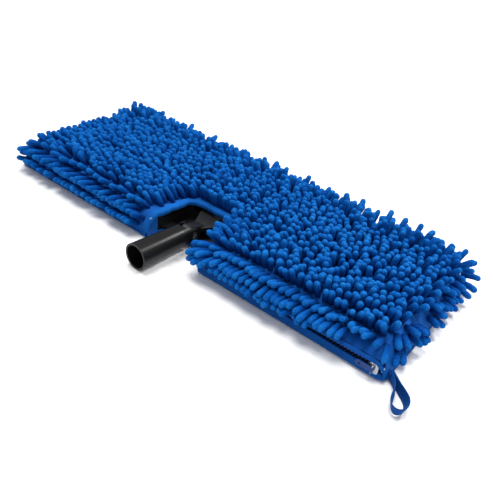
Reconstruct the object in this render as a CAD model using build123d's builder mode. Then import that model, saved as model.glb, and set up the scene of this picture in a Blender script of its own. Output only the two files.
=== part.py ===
"""Chenille wash mop head: a zipped fabric sleeve over a flat two-part frame with a two-axis pole socket.

Millimetres. The origin is the centre of the sleeve's underside, +X runs along the long side towards
the closed end of the zip, +Y runs from the pole socket to the back and +Z is up.
"""

import os
from math import cos, radians, sin

from build123d import *

os.makedirs("parts", exist_ok=True)

# Fabric sleeve
BASE_LENGTH = 457.0
BASE_WIDTH = 174.0
BASE_CORNER = 4.0
CLOTH = 1.8  # thickness of the side band, bindings and top panel
BOTTOM_THICK = 1.5
PANEL_LOW = 20.3  # underside of the top panel
PILE_LOW = PANEL_LOW + CLOTH
PILE_HIGH = 39.0
PILE_OVERHANG = 11.0
PILE_ROUND = 6.0
FRONT = -BASE_WIDTH / 2

# Notch in the middle of the front edge
NOTCH_BACK = -21.0
NOTCH_HALF = 31.0
NOTCH_TAPER = 0.076  # widening to each side per millimetre towards the front
NOTCH_CORNER = 12.0
LOWER_NOTCH_BACK = -61.0
LOWER_NOTCH_CORNER = 3.0
BINDING_LOW = 17.4
BINDING_HIGH = 25.4
LOWER_BINDING_LOW = 0.2
LOWER_BINDING_HIGH = 3.6

# Rigid frame
FRAME_LENGTH = 428.0
FRAME_WIDTH = 148.0
FRAME_CORNER = 14.0
WALL = 2.0
FLOOR_LOW = 1.8
FLOOR_HIGH = 3.6
SPLIT = 10.0  # height where the two shells meet
LID_LOW = 17.0
LID_HIGH = 20.0
FRAME_GAP = 1.0  # from the sleeve's notch lining to the lid's notch edge
FLOOR_FRONT = -58.0  # front edge of the lower shell in the notch
RIB = 1.6
RIB_PITCH = 36.0
RIB_BAYS = 5
FIRST_RIB = 44.0
RIB_GAP = 0.4  # clearance between the ribs of the two shells
LONG_RIB_X = 125.0
LONG_RIB_Y = 30.0
LONG_RIB = 176.0
FLOOR_CORNER = 4.0
EDGE_ROUND = 0.8
PLATE_SLOT_HALF = 30.0
PLATE_SLOT_DEPTH = 24.0
PIVOT_BOSS_R = 11.0
SCREW_X = (-196.0, -62.0, 62.0, 196.0)
SCREW_Y = (-58.0, 58.0)
SCREW_R = 1.5
SCREW_GAP = 0.1
SCREW_TIP = 15.5
HEAD_R = 2.8
HEAD_HEIGHT = 1.6
DRIVE_SLOT = 0.7
BOSS_R = 4.6

# Swivel about the vertical pivot
PIVOT_Y = -12.0
PIVOT_R = 4.0
PIVOT_TOP = 19.2
PLATE_LOW = 12.0
PLATE_HIGH = 16.0
PLATE_R = 22.0
REACH = 48.0  # pivot to flip pin
NECK_HALF = 5.0
NECK_START = 12.0  # the plate widens this far behind the flip pin
TONGUE_R = 7.0
FAN_ANGLE = 25.0  # where the fan meets the disc, degrees forward of its sides
WASHER_R = 9.0
WASHER_THICK = 0.8
WASHER_GAP = 0.1
RUNNING = 0.05  # radial clearance of the two pivots
REST_YAW = -3.0  # the socket points this far from straight ahead, degrees about +Z

# Pole socket and its fork
PIN_Z = (PLATE_LOW + PLATE_HIGH) / 2
PIN_R = 2.5
SOCKET_DROP = 0.7  # degrees below level, where the mouth rests on the ground
SOCKET_REACH = 65.0
MOUTH_R = 13.1
SHOULDER_R = 11.2
SHOULDER = 12.0  # distance from the flip pin to the start of the tube
POLE_R = 11.2
POLE_DEPTH = 20.0
BORE_END = 18.0
BORE_END_R = 8.6
CHEEK_IN = NECK_HALF + 0.3
CHEEK_OUT = 9.4
CHEEK_R = 8.0
WEB_START = 9.0  # solid web between the cheeks, from the flip pin
CAP_R = 4.2
CAP_THICK = 1.2

# Zip in the front edge, right of the notch
ZIP_START = 44.0
ZIP_END = 226.0
ZIP_Z = 10.1
ZIP_OPEN_HALF = 2.5  # half of the slot between the hem strip and the flap
SLIT_HALF = 0.6
TAPE_GAP = 0.1
TAPE_SHEET = 0.5
TOOTH_PITCH = 3.2
TOOTH_LENGTH = 1.7
TOOTH_DEPTH = 1.3
TOOTH_ROUND = 0.3
TAPE_HEIGHT = 4.6
STOP_LENGTH = 2.0
SLIDER_X = 218.0
SLIDER_LENGTH = 9.0
SLIDER_HEIGHT = 8.6
SLIDER_FRONT = -87.4
SLIDER_BACK = -83.4
SLIDER_PLATE = 1.1
SLIDER_POST = 2.0
BAIL_R = 0.7
BAIL_HALF = 3.4
BAIL_ARM_Z = BAIL_HALF - BAIL_R / 2
BAIL_Y = -90.4
EYE_R = 1.4
EYE_HALF = 2.2
TAB_LENGTH = 14.0
TAB_HEIGHT = 4.8
TAB_THICK = 1.2
TAB_NECK = 2.4

# Hanging loop at the front right corner
LOOP_ROOT = (228.2, -86.8)
LOOP_TURN = -46.0  # direction in which the loop lies, degrees about +Z
LOOP_LENGTH = 27.0  # root to the centre of the round end
LOOP_R = 9.5
LOOP_EYE_START = 8.0
TAPE_THICK = 1.4
LOOP_TAIL = 9.0
TACK_SIZE = 4.0
TACK_THICK = 0.6
TACK_MARGIN = 1.5
LOOP_LOW = 0.2
LOOP_HIGH = 9.8


def notch_half(y, extra=0.0):
    """Half the notch's width at y, with extra material taken away on each side."""
    return NOTCH_HALF + extra + (NOTCH_BACK - y) * NOTCH_TAPER


def notch_shape(back, extra, corner):
    """The tapered notch as a flat shape, from back to well past the front edge, with round inner corners."""
    front = 2 * FRONT
    with BuildSketch(mode=Mode.PRIVATE) as shape:
        with BuildLine():
            Polyline(
                (-notch_half(back, extra), back),
                (notch_half(back, extra), back),
                (notch_half(front, extra), front),
                (-notch_half(front, extra), front),
                close=True,
            )
        make_face()
        fillet(shape.vertices().filter_by_position(Axis.Y, back - 0.01, back + 0.01), corner)
    return shape.sketch_local


# ---------------------------------------------------------------- fabric sleeve

NOTCH = notch_shape(NOTCH_BACK, 0.0, NOTCH_CORNER)
NOTCH_LINED = notch_shape(NOTCH_BACK + CLOTH, CLOTH, NOTCH_CORNER + CLOTH)
LOWER_NOTCH_LINED = notch_shape(LOWER_NOTCH_BACK + CLOTH, CLOTH, LOWER_NOTCH_CORNER + CLOTH)

with BuildPart() as bottom_panel:
    with BuildSketch():
        RectangleRounded(BASE_LENGTH, BASE_WIDTH, BASE_CORNER)
        add(LOWER_NOTCH_LINED, mode=Mode.SUBTRACT)
    extrude(amount=BOTTOM_THICK)
bottom_panel.part.label = "bottom_panel"
export_step(bottom_panel.part, "parts/bottom_panel.step")

with BuildPart() as top_panel:
    with BuildSketch(Plane.XY.offset(PANEL_LOW)):
        RectangleRounded(BASE_LENGTH, BASE_WIDTH, BASE_CORNER)
        add(NOTCH_LINED, mode=Mode.SUBTRACT)
    extrude(amount=CLOTH)
top_panel.part.label = "top_panel"
export_step(top_panel.part, "parts/top_panel.step")

# The pile of chenille fingers, as one block over the top panel and past its edges
with BuildPart() as chenille_pile:
    with BuildSketch(Plane.XY.offset(PILE_LOW)):
        RectangleRounded(BASE_LENGTH + 2 * PILE_OVERHANG, BASE_WIDTH + 2 * PILE_OVERHANG, PILE_OVERHANG)
        add(notch_shape(NOTCH_BACK + 2 * CLOTH, 2 * CLOTH, NOTCH_CORNER + 2 * CLOTH), mode=Mode.SUBTRACT)
    extrude(amount=PILE_HIGH - PILE_LOW)
    fillet(chenille_pile.faces().sort_by(Axis.Z)[-1].outer_wire().edges(), PILE_ROUND)
chenille_pile.part.label = "chenille_pile"
export_step(chenille_pile.part, "parts/chenille_pile.step")

# The side band runs from the notch's left lip round the left end, the back and the right end
OPEN_LEFT = -notch_half(FRONT, CLOTH)
STRIP_START = notch_half(FRONT, CLOTH)
STRIP_CENTRE = ((STRIP_START + ZIP_END) / 2, FRONT + CLOTH / 2)

with BuildPart() as side_band:
    with BuildSketch(Plane.XY.offset(BOTTOM_THICK)):
        RectangleRounded(BASE_LENGTH, BASE_WIDTH, BASE_CORNER)
        RectangleRounded(
            BASE_LENGTH - 2 * CLOTH, BASE_WIDTH - 2 * CLOTH, BASE_CORNER - CLOTH, mode=Mode.SUBTRACT
        )
        with Locations(((OPEN_LEFT + ZIP_END) / 2, FRONT)):
            Rectangle(ZIP_END - OPEN_LEFT, 4 * CLOTH, mode=Mode.SUBTRACT)
    extrude(amount=PANEL_LOW - BOTTOM_THICK)
side_band.part.label = "side_band"
export_step(side_band.part, "parts/side_band.step")

with BuildPart() as front_hem:
    with BuildSketch(Plane.XY.offset(BOTTOM_THICK)):
        with Locations(STRIP_CENTRE):
            Rectangle(ZIP_END - STRIP_START, CLOTH)
    extrude(amount=ZIP_Z - ZIP_OPEN_HALF - BOTTOM_THICK)
front_hem.part.label = "front_hem"
export_step(front_hem.part, "parts/front_hem.step")

with BuildPart() as front_flap:
    with BuildSketch(Plane.XY.offset(ZIP_Z + ZIP_OPEN_HALF)):
        with Locations(STRIP_CENTRE):
            Rectangle(ZIP_END - STRIP_START, CLOTH)
    extrude(amount=PANEL_LOW - ZIP_Z - ZIP_OPEN_HALF)
front_flap.part.label = "front_flap"
export_step(front_flap.part, "parts/front_flap.step")

# Two short walls close the sleeve beside the front of the notch
with BuildPart() as notch_lips:
    with BuildSketch(Plane.XY.offset(BOTTOM_THICK)):
        with Locations((0, (FRONT + LOWER_NOTCH_BACK) / 2)):
            Rectangle(4 * NOTCH_HALF, LOWER_NOTCH_BACK - FRONT)
        add(NOTCH_LINED, mode=Mode.INTERSECT)
        add(NOTCH, mode=Mode.SUBTRACT)
    extrude(amount=BINDING_LOW - BOTTOM_THICK)
notch_lips.part.label = "notch_lips"
export_step(notch_lips.part, "parts/notch_lips.step")

# Bound edge round the top panel's notch, and the one along the lower notch's back
with BuildPart() as notch_binding_top:
    with BuildSketch(Plane.XY.offset(BINDING_LOW)):
        with Locations((0, (FRONT + NOTCH_BACK) / 2 + CLOTH)):
            Rectangle(4 * NOTCH_HALF, NOTCH_BACK - FRONT + 2 * CLOTH)
        add(NOTCH_LINED, mode=Mode.INTERSECT)
        add(NOTCH, mode=Mode.SUBTRACT)
    extrude(amount=BINDING_HIGH - BINDING_LOW)
notch_binding_top.part.label = "notch_binding_top"
export_step(notch_binding_top.part, "parts/notch_binding_top.step")

with BuildPart() as notch_binding_bottom:
    with BuildSketch(Plane.XY.offset(LOWER_BINDING_LOW)):
        with Locations((0, LOWER_NOTCH_BACK + CLOTH / 2)):
            Rectangle(2 * NOTCH_HALF, CLOTH)
    extrude(amount=LOWER_BINDING_HIGH - LOWER_BINDING_LOW)
notch_binding_bottom.part.label = "notch_binding_bottom"
export_step(notch_binding_bottom.part, "parts/notch_binding_bottom.step")

# Hanging loop: a tape on edge that runs out from the corner, round a wide end and back
LOOP_AHEAD = (cos(radians(LOOP_TURN)), sin(radians(LOOP_TURN)), 0)
LOOP_PLANE = Plane(origin=(*LOOP_ROOT, LOOP_LOW), x_dir=LOOP_AHEAD)

with BuildPart() as hanging_loop:
    with BuildSketch(LOOP_PLANE):
        with Locations((LOOP_LENGTH, 0)):
            Circle(LOOP_R)
        with BuildLine():
            Polyline(
                (0, TAPE_THICK),
                (LOOP_LENGTH, LOOP_R),
                (LOOP_LENGTH, -LOOP_R),
                (0, -TAPE_THICK),
                close=True,
            )
        make_face()
        with Locations((LOOP_LENGTH, 0)):
            Circle(LOOP_R - TAPE_THICK, mode=Mode.SUBTRACT)
        with BuildLine():
            Polyline(
                (LOOP_EYE_START, 0),
                (LOOP_LENGTH, LOOP_R - TAPE_THICK),
                (LOOP_LENGTH, TAPE_THICK - LOOP_R),
                close=True,
            )
        make_face(mode=Mode.SUBTRACT)
    extrude(amount=LOOP_HIGH - LOOP_LOW)
    with BuildSketch(Plane.XY.offset(LOOP_LOW)):
        with Locations((BASE_LENGTH / 2 + TAPE_THICK / 2, FRONT + LOOP_TAIL / 2)):
            Rectangle(TAPE_THICK, LOOP_TAIL)
    extrude(amount=LOOP_HIGH - LOOP_LOW)
hanging_loop.part.label = "hanging_loop"
export_step(hanging_loop.part, "parts/hanging_loop.step")

# Dense row of stitches that holds the loop's two ends to the corner
with BuildPart() as loop_bar_tack:
    with BuildSketch(Plane.XY.offset(LOOP_LOW + TACK_MARGIN)):
        with Locations((BASE_LENGTH / 2 + TAPE_THICK + TACK_THICK / 2, FRONT + LOOP_TAIL - TACK_SIZE / 2)):
            Rectangle(TACK_THICK, TACK_SIZE)
    extrude(amount=LOOP_HIGH - LOOP_LOW - 2 * TACK_MARGIN)
loop_bar_tack.part.label = "loop_bar_tack"
export_step(loop_bar_tack.part, "parts/loop_bar_tack.step")

# ---------------------------------------------------------------- zip

TOOTH_COUNT = int((ZIP_END - ZIP_START - SLIDER_LENGTH) / TOOTH_PITCH)
CHAIN_CENTRE = (ZIP_START + ZIP_END) / 2
CHAIN_Y = FRONT + CLOTH + TAPE_GAP
TAPE_Y = CHAIN_Y + TOOTH_DEPTH / 2
ROW_HALF = ZIP_OPEN_HALF + SLIT_HALF

with BuildPart() as zip_tape_lower:
    with BuildSketch(Plane.XY.offset(ZIP_Z - ZIP_OPEN_HALF - TAPE_HEIGHT)):
        with Locations((CHAIN_CENTRE, TAPE_Y)):
            Rectangle(ZIP_END - ZIP_START, TAPE_SHEET)
    extrude(amount=TAPE_HEIGHT)
zip_tape_lower.part.label = "zip_tape_lower"
export_step(zip_tape_lower.part, "parts/zip_tape_lower.step")

with BuildPart() as zip_tape_upper:
    with BuildSketch(Plane.XY.offset(ZIP_Z + ZIP_OPEN_HALF)):
        with Locations((CHAIN_CENTRE, TAPE_Y)):
            Rectangle(ZIP_END - ZIP_START, TAPE_SHEET)
    extrude(amount=TAPE_HEIGHT)
zip_tape_upper.part.label = "zip_tape_upper"
export_step(zip_tape_upper.part, "parts/zip_tape_upper.step")

# Two rows of coil teeth with the slider's slit between them
with BuildPart() as zip_teeth:
    for side in (-1, 1):
        row_z = ZIP_Z + side * ROW_HALF / 2
        with BuildSketch(Plane.XZ.offset(-CHAIN_Y)):
            with Locations((CHAIN_CENTRE - SLIDER_LENGTH / 2 + side * TOOTH_PITCH / 4, row_z)):
                with GridLocations(TOOTH_PITCH, 1, TOOTH_COUNT, 1):
                    RectangleRounded(TOOTH_LENGTH, ROW_HALF - 2 * SLIT_HALF, TOOTH_ROUND)
        extrude(amount=-TOOTH_DEPTH)
zip_teeth.part.label = "zip_teeth"
export_step(zip_teeth.part, "parts/zip_teeth.step")

# Metal stops across both rows at the two ends of the chain
with BuildPart() as zip_stops:
    with BuildSketch(Plane.XZ.offset(-CHAIN_Y)):
        with Locations((ZIP_START - STOP_LENGTH / 2, ZIP_Z), (ZIP_END - STOP_LENGTH / 2, ZIP_Z)):
            RectangleRounded(STOP_LENGTH, 2 * ZIP_OPEN_HALF - 2 * TOOTH_ROUND, TOOTH_ROUND)
    extrude(amount=-TOOTH_DEPTH)
zip_stops.part.label = "zip_stops"
export_step(zip_stops.part, "parts/zip_stops.step")

# Slider: a plate on each side of the chain, joined by a thin post, with a bail on the front
with BuildPart() as zip_slider:
    with BuildSketch(Plane.XZ.offset(-SLIDER_FRONT)):
        with Locations((SLIDER_X, ZIP_Z)):
            RectangleRounded(SLIDER_LENGTH, SLIDER_HEIGHT, SLIDER_HEIGHT / 4)
    extrude(amount=SLIDER_PLATE)
    with BuildSketch(Plane.XZ.offset(-SLIDER_BACK)):
        with Locations((SLIDER_X, ZIP_Z)):
            RectangleRounded(SLIDER_LENGTH, SLIDER_HEIGHT, SLIDER_HEIGHT / 4)
    extrude(amount=-SLIDER_PLATE)
    with BuildSketch(Plane.XZ.offset(-SLIDER_FRONT)):
        with Locations((SLIDER_X, ZIP_Z)):
            Rectangle(SLIDER_POST, SLIT_HALF)
    extrude(amount=SLIDER_FRONT - SLIDER_BACK)
    with BuildSketch(Plane.XY.offset(ZIP_Z - BAIL_HALF)):
        with Locations((SLIDER_X, BAIL_Y)):
            Circle(BAIL_R)
    extrude(amount=2 * BAIL_HALF)
    with BuildSketch(Plane.XZ.offset(-SLIDER_FRONT)):
        with Locations((SLIDER_X, ZIP_Z - BAIL_ARM_Z), (SLIDER_X, ZIP_Z + BAIL_ARM_Z)):
            Rectangle(2 * BAIL_R, BAIL_R)
    extrude(amount=SLIDER_FRONT - BAIL_Y)
zip_slider.part.label = "zip_slider"
export_step(zip_slider.part, "parts/zip_slider.step")

# Pull tab: an eye round the bail and a flat tab along the zip, with a finger hole
with BuildPart() as zip_pull:
    with BuildSketch(Plane.XZ.offset(-BAIL_Y - TAB_THICK / 2)):
        with Locations((SLIDER_X - TAB_LENGTH / 2, ZIP_Z)):
            RectangleRounded(TAB_LENGTH, TAB_HEIGHT, TAB_HEIGHT / 3)
        with Locations((SLIDER_X - BAIL_R, ZIP_Z)):
            Rectangle(8 * BAIL_R, TAB_HEIGHT, mode=Mode.SUBTRACT)
        with Locations((SLIDER_X - TAB_NECK, ZIP_Z)):
            Rectangle(2 * TAB_NECK - 2 * BAIL_R - 2 * RUNNING, 2 * EYE_HALF)
        with Locations((SLIDER_X - TAB_LENGTH + TAB_HEIGHT / 2 + 1, ZIP_Z)):
            Circle(TAB_HEIGHT / 5, mode=Mode.SUBTRACT)
    extrude(amount=TAB_THICK)
    with BuildSketch(Plane.XY.offset(ZIP_Z - EYE_HALF)):
        with Locations((SLIDER_X, BAIL_Y)):
            Circle(EYE_R)
            Circle(BAIL_R + RUNNING, mode=Mode.SUBTRACT)
    extrude(amount=2 * EYE_HALF)
    with Locations((SLIDER_X, BAIL_Y, ZIP_Z)):
        Cylinder(BAIL_R + RUNNING, 3 * BAIL_HALF, mode=Mode.SUBTRACT)
zip_pull.part.label = "zip_pull"
export_step(zip_pull.part, "parts/zip_pull.step")

# ---------------------------------------------------------------- rigid frame

LID_NOTCH = notch_shape(NOTCH_BACK + CLOTH + FRAME_GAP, CLOTH + FRAME_GAP, NOTCH_CORNER)
LID_NOTCH_WALL = notch_shape(
    NOTCH_BACK + CLOTH + FRAME_GAP + WALL, CLOTH + FRAME_GAP + WALL, NOTCH_CORNER + WALL
)
FLOOR_NOTCH = notch_shape(FLOOR_FRONT, CLOTH + FRAME_GAP, FLOOR_CORNER)
RIB_SPOTS = [
    side * (FIRST_RIB + bay * RIB_PITCH) for side in (-1, 1) for bay in range(RIB_BAYS)
]

with BuildPart() as frame_lower:
    with BuildSketch(Plane.XY.offset(FLOOR_LOW)):
        RectangleRounded(FRAME_LENGTH, FRAME_WIDTH, FRAME_CORNER)
        add(FLOOR_NOTCH, mode=Mode.SUBTRACT)
    extrude(amount=FLOOR_HIGH - FLOOR_LOW)
    # Outer wall and the wall round the notch
    with BuildSketch(Plane.XY.offset(FLOOR_HIGH)):
        RectangleRounded(FRAME_LENGTH, FRAME_WIDTH, FRAME_CORNER)
        RectangleRounded(
            FRAME_LENGTH - 2 * WALL, FRAME_WIDTH - 2 * WALL, FRAME_CORNER - WALL, mode=Mode.SUBTRACT
        )
        add(LID_NOTCH_WALL)
        add(LID_NOTCH, mode=Mode.SUBTRACT)
        with Locations((0, -FRAME_WIDTH / 2 - FRAME_WIDTH)):
            Rectangle(FRAME_LENGTH, 2 * FRAME_WIDTH, mode=Mode.SUBTRACT)
    extrude(amount=SPLIT - FLOOR_HIGH)
    # Cross ribs and the two long ribs outside the notch
    with BuildSketch(Plane.XY.offset(FLOOR_HIGH)):
        with Locations([(x, 0) for x in RIB_SPOTS]):
            Rectangle(RIB, FRAME_WIDTH - WALL)
        with Locations((-LONG_RIB_X, -LONG_RIB_Y), (LONG_RIB_X, -LONG_RIB_Y)):
            Rectangle(LONG_RIB, RIB)
        with Locations((0, LONG_RIB_Y)):
            Rectangle(FRAME_LENGTH - 2 * WALL, RIB)
    extrude(amount=SPLIT - RIB_GAP - FLOOR_HIGH)
    # Bosses for the pivot and the screws
    with BuildSketch(Plane.XY.offset(FLOOR_HIGH)):
        with Locations((0, PIVOT_Y)):
            Circle(PIVOT_BOSS_R)
    extrude(amount=PLATE_LOW - WASHER_THICK - WASHER_GAP - FLOOR_HIGH)
    with BuildSketch(Plane.XY.offset(FLOOR_HIGH)):
        with Locations([(x, y) for x in SCREW_X for y in SCREW_Y]):
            Circle(BOSS_R)
    extrude(amount=SPLIT - FLOOR_HIGH)
    with BuildSketch(Plane.XY.offset(FLOOR_HIGH)):
        with Locations((0, PIVOT_Y)):
            Circle(PIVOT_R)
    extrude(amount=LID_LOW, mode=Mode.SUBTRACT)
    with Locations([(x, y, FLOOR_LOW) for x in SCREW_X for y in SCREW_Y]):
        Cylinder(SCREW_R + SCREW_GAP, 4 * SPLIT, mode=Mode.SUBTRACT)
        Cylinder(HEAD_R + SCREW_GAP, 2 * HEAD_HEIGHT + 2 * SCREW_GAP, mode=Mode.SUBTRACT)
frame_lower.part.label = "frame_lower"
export_step(frame_lower.part, "parts/frame_lower.step")

with BuildPart() as frame_upper:
    with BuildSketch(Plane.XY.offset(LID_LOW)):
        RectangleRounded(FRAME_LENGTH, FRAME_WIDTH, FRAME_CORNER)
        add(LID_NOTCH, mode=Mode.SUBTRACT)
    extrude(amount=LID_HIGH - LID_LOW)
    # Outer wall and the wall round the notch, open at the back for the swing plate
    with BuildSketch(Plane.XY.offset(SPLIT)):
        RectangleRounded(FRAME_LENGTH, FRAME_WIDTH, FRAME_CORNER)
        RectangleRounded(
            FRAME_LENGTH - 2 * WALL, FRAME_WIDTH - 2 * WALL, FRAME_CORNER - WALL, mode=Mode.SUBTRACT
        )
        add(LID_NOTCH_WALL)
        add(LID_NOTCH, mode=Mode.SUBTRACT)
        with Locations((0, -FRAME_WIDTH / 2 - FRAME_WIDTH)):
            Rectangle(FRAME_LENGTH, 2 * FRAME_WIDTH, mode=Mode.SUBTRACT)
        with Locations((0, NOTCH_BACK)):
            Rectangle(2 * PLATE_SLOT_HALF, PLATE_SLOT_DEPTH, mode=Mode.SUBTRACT)
    extrude(amount=LID_LOW - SPLIT)
    with BuildSketch(Plane.XY.offset(SPLIT + RIB_GAP)):
        with Locations([(x, 0) for x in RIB_SPOTS]):
            Rectangle(RIB, FRAME_WIDTH - WALL)
        with Locations((0, LONG_RIB_Y)):
            Rectangle(FRAME_LENGTH - 2 * WALL, RIB)
    extrude(amount=LID_LOW - SPLIT - RIB_GAP)
    with BuildSketch(Plane.XY.offset(SPLIT)):
        with Locations([(x, y) for x in SCREW_X for y in SCREW_Y]):
            Circle(BOSS_R)
    extrude(amount=LID_LOW - SPLIT)
    with BuildSketch(Plane.XY.offset(SPLIT)):
        with Locations([(x, y) for x in SCREW_X for y in SCREW_Y]):
            Circle(SCREW_R)
    extrude(amount=SCREW_TIP - SPLIT, mode=Mode.SUBTRACT)
    with BuildSketch(Plane.XY.offset(SPLIT)):
        with Locations((0, PIVOT_Y)):
            Circle(PIVOT_R)
    extrude(amount=PIVOT_TOP - SPLIT, mode=Mode.SUBTRACT)
    fillet(frame_upper.faces().sort_by(Axis.Z)[-1].outer_wire().edges(), EDGE_ROUND)
frame_upper.part.label = "frame_upper"
export_step(frame_upper.part, "parts/frame_upper.step")

# Self-tapping screws from below, heads sunk flush in the lower shell
with BuildPart() as frame_screws:
    with BuildSketch(Plane.XY.offset(FLOOR_LOW)):
        with Locations([(x, y) for x in SCREW_X for y in SCREW_Y]):
            Circle(HEAD_R)
    extrude(amount=HEAD_HEIGHT)
    with BuildSketch(Plane.XY.offset(FLOOR_LOW)):
        with Locations([(x, y) for x in SCREW_X for y in SCREW_Y]):
            Circle(SCREW_R)
    extrude(amount=SCREW_TIP - RIB_GAP - FLOOR_LOW)
    with BuildSketch(Plane.XY.offset(FLOOR_LOW)):
        with Locations([(x, y) for x in SCREW_X for y in SCREW_Y]):
            Rectangle(HEAD_R, DRIVE_SLOT)
            Rectangle(DRIVE_SLOT, HEAD_R)
    extrude(amount=HEAD_HEIGHT / 2, mode=Mode.SUBTRACT)
frame_screws.part.label = "frame_screws"
export_step(frame_screws.part, "parts/frame_screws.step")

# ---------------------------------------------------------------- swivel

with BuildPart() as pivot_pin:
    with BuildSketch(Plane.XY.offset(FLOOR_HIGH)):
        with Locations((0, PIVOT_Y)):
            Circle(PIVOT_R)
    extrude(amount=PIVOT_TOP - FLOOR_HIGH)
    chamfer(pivot_pin.edges().filter_by(GeomType.CIRCLE), PIVOT_R / 10)
pivot_pin.part.label = "pivot_pin"
export_step(pivot_pin.part, "parts/pivot_pin.step")

# One washer below the swing plate and one above it
with BuildPart() as pivot_washers:
    for low in (PLATE_LOW - WASHER_GAP - WASHER_THICK, PLATE_HIGH + WASHER_GAP):
        with BuildSketch(Plane.XY.offset(low)):
            with Locations((0, PIVOT_Y)):
                Circle(WASHER_R)
                Circle(PIVOT_R + RUNNING, mode=Mode.SUBTRACT)
        extrude(amount=WASHER_THICK)
pivot_washers.part.label = "pivot_washers"
export_step(pivot_washers.part, "parts/pivot_washers.step")

# Swing plate: a disc on the pivot, a fan that narrows to the neck, and a tongue round the flip pin.
# Its own frame has x to the right of the socket and y away from the socket.
YAW_X = (cos(radians(REST_YAW)), sin(radians(REST_YAW)), 0)
FORWARD = (sin(radians(REST_YAW)), -cos(radians(REST_YAW)), 0)
PIVOT = Vector(0, PIVOT_Y, 0)
FLIP_PIN = PIVOT + Vector(*FORWARD) * REACH + Vector(0, 0, PIN_Z)
SWING_PLANE = Plane(origin=(0, PIVOT_Y, PLATE_LOW), x_dir=YAW_X)
TONGUE_PLANE = Plane(origin=FLIP_PIN, x_dir=FORWARD, z_dir=(-YAW_X[0], -YAW_X[1], 0))

with BuildPart() as swing_plate:
    with BuildSketch(SWING_PLANE):
        Circle(PLATE_R)
        with BuildLine():
            Polyline(
                (-NECK_HALF, -REACH + NECK_START),
                (NECK_HALF, -REACH + NECK_START),
                (PLATE_R * cos(radians(FAN_ANGLE)), -PLATE_R * sin(radians(FAN_ANGLE))),
                (-PLATE_R * cos(radians(FAN_ANGLE)), -PLATE_R * sin(radians(FAN_ANGLE))),
                close=True,
            )
        make_face()
    extrude(amount=PLATE_HIGH - PLATE_LOW)
    fillet(swing_plate.faces().sort_by(Axis.Z)[-1].outer_wire().edges(), EDGE_ROUND)
    with BuildSketch(TONGUE_PLANE.offset(-NECK_HALF)):
        Circle(TONGUE_R)
        with BuildLine():
            Polyline(
                (0, TONGUE_R),
                (-NECK_START - TONGUE_R, (PLATE_HIGH - PLATE_LOW) / 2),
                (-NECK_START - TONGUE_R, (PLATE_LOW - PLATE_HIGH) / 2),
                (0, -TONGUE_R),
                close=True,
            )
        make_face()
        Circle(PIN_R + RUNNING, mode=Mode.SUBTRACT)
    extrude(amount=2 * NECK_HALF)
    with BuildSketch(SWING_PLANE):
        Circle(PIVOT_R + RUNNING)
    extrude(amount=PLATE_HIGH - PLATE_LOW, mode=Mode.SUBTRACT)
swing_plate.part.label = "swing_plate"
export_step(swing_plate.part, "parts/swing_plate.step")

# ---------------------------------------------------------------- pole socket

DROP = radians(SOCKET_DROP)
SOCKET_AXIS = (FORWARD[0] * cos(DROP), FORWARD[1] * cos(DROP), -sin(DROP))
SOCKET_PLANE = Plane(origin=FLIP_PIN, x_dir=YAW_X, z_dir=SOCKET_AXIS)
CHEEK_PLANE = Plane(origin=FLIP_PIN, x_dir=SOCKET_AXIS, z_dir=(-YAW_X[0], -YAW_X[1], 0))

with BuildPart() as pole_socket:
    # Fork: a round bar cut to two flat cheeks with round ends
    with BuildSketch(SOCKET_PLANE.offset(-CHEEK_R)):
        Circle(SHOULDER_R)
        Rectangle(2 * CHEEK_OUT, 2 * SHOULDER_R, mode=Mode.INTERSECT)
    extrude(amount=CHEEK_R + SHOULDER)
    with BuildSketch(CHEEK_PLANE.offset(-SHOULDER_R)):
        Circle(CHEEK_R)
        with BuildLine():
            Polyline(
                (0, CHEEK_R), (SHOULDER, SHOULDER_R), (SHOULDER, -SHOULDER_R), (0, -CHEEK_R), close=True
            )
        make_face()
    extrude(amount=2 * SHOULDER_R, mode=Mode.INTERSECT)
    with BuildSketch(SOCKET_PLANE.offset(-CHEEK_R)):
        Rectangle(2 * CHEEK_IN, 2 * SHOULDER_R)
    extrude(amount=CHEEK_R + WEB_START, mode=Mode.SUBTRACT)
    # Tapered tube
    with BuildSketch(SOCKET_PLANE.offset(SHOULDER)):
        Circle(SHOULDER_R)
    with BuildSketch(SOCKET_PLANE.offset(SOCKET_REACH)):
        Circle(MOUTH_R)
    loft()
    with BuildSketch(SOCKET_PLANE.offset(BORE_END)):
        Circle(BORE_END_R)
    with BuildSketch(SOCKET_PLANE.offset(SOCKET_REACH - POLE_DEPTH)):
        Circle(POLE_R)
    loft(mode=Mode.SUBTRACT)
    with BuildSketch(SOCKET_PLANE.offset(SOCKET_REACH - POLE_DEPTH)):
        Circle(POLE_R)
    extrude(amount=POLE_DEPTH, mode=Mode.SUBTRACT)
    with BuildSketch(CHEEK_PLANE.offset(-SHOULDER_R)):
        Circle(PIN_R)
    extrude(amount=2 * SHOULDER_R, mode=Mode.SUBTRACT)
pole_socket.part.label = "pole_socket"
export_step(pole_socket.part, "parts/pole_socket.step")

with BuildPart() as flip_pin:
    with BuildSketch(CHEEK_PLANE.offset(-CHEEK_OUT - CAP_THICK)):
        Circle(PIN_R)
    extrude(amount=2 * (CHEEK_OUT + CAP_THICK))
    chamfer(flip_pin.edges().filter_by(GeomType.CIRCLE), PIN_R / 8)
flip_pin.part.label = "flip_pin"
export_step(flip_pin.part, "parts/flip_pin.step")

# Push-on caps that keep the pin in the fork
with BuildPart() as flip_pin_caps:
    for start in (-CHEEK_OUT - CAP_THICK, CHEEK_OUT):
        with BuildSketch(CHEEK_PLANE.offset(start)):
            Circle(CAP_R)
            Circle(PIN_R, mode=Mode.SUBTRACT)
        extrude(amount=CAP_THICK)
flip_pin_caps.part.label = "flip_pin_caps"
export_step(flip_pin_caps.part, "parts/flip_pin_caps.step")
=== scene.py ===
import math

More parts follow.
